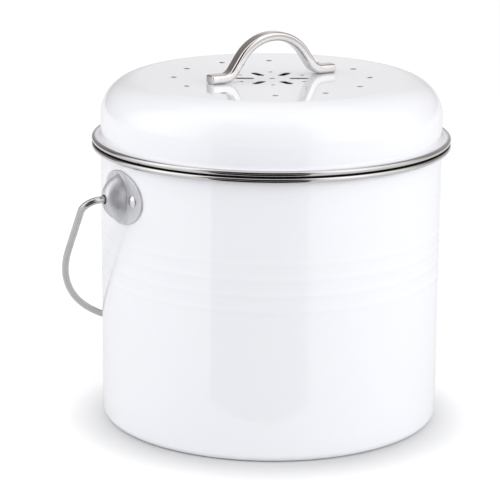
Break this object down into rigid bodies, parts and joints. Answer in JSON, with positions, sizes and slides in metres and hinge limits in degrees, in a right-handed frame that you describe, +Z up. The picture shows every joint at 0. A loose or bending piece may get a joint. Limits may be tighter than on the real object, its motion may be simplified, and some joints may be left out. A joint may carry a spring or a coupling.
{
  "type": "kitchen compost bin",
  "caption": "Round white sheet-metal kitchen compost bin with a wire bail, and a lift-off vented lid that holds a charcoal filter under a bent-bar handle.",
  "frame": {"origin": "on the bucket's axis, on the surface that it stands on", "axes": "+Z up; X through the two ears and along the lid handle; the bail hangs at the back, on the +Y side"},
  "size_m": [0.2492, 0.2106, 0.229],
  "materials": {
    "white_enamel": "glossy white powder coat",
    "trim_steel": "polished stainless strip",
    "ear_zinc": "satin galvanised",
    "rivet_steel": "bright, lightly brushed",
    "bail_steel": "plated wire, slightly dulled",
    "handle_chrome": "polished",
    "fastener_steel": "zinc plated",
    "gasket_rubber": "matt",
    "filter_plastic": "fine moulded grain",
    "charcoal_felt": "felted fibre"
  },
  "bodies": {
    "bucket": {"bucket_shell": "white_enamel", "bucket_rim_ring": "trim_steel", "left_ear": "ear_zinc", "right_ear": "ear_zinc", "left_ear_rivet_front": "rivet_steel", "left_ear_rivet_rear": "rivet_steel", "right_ear_rivet_front": "rivet_steel", "right_ear_rivet_rear": "rivet_steel"},
    "bail": {"bail_wire": "bail_steel"},
    "lid": {"lid_shell": "white_enamel", "lid_rim_ring": "trim_steel", "lid_collar": "white_enamel", "lid_gasket": "gasket_rubber", "lid_handle": "handle_chrome", "handle_screw_left": "fastener_steel", "handle_screw_right": "fastener_steel", "handle_washer_left": "fastener_steel", "handle_washer_right": "fastener_steel", "filter_frame": "filter_plastic"},
    "filter": {"filter_cover": "filter_plastic", "charcoal_filter": "charcoal_felt"}
  },
  "joints": [
    {"name": "bail_swing", "type": "hinge", "parent": "bucket", "child": "bail", "pos_m": [0, 0, 0.1419], "axis": [1, 0, 0], "range_deg": [0, 274.7]},
    {"name": "lid_lift", "type": "slide", "parent": "bucket", "child": "lid", "axis": [0, 0, 1], "range_m": [0, 0.08]},
    {"name": "filter_pull", "type": "slide", "parent": "lid", "child": "filter", "axis": [0, 0, -1], "range_m": [0, 0.04]}
  ]
}
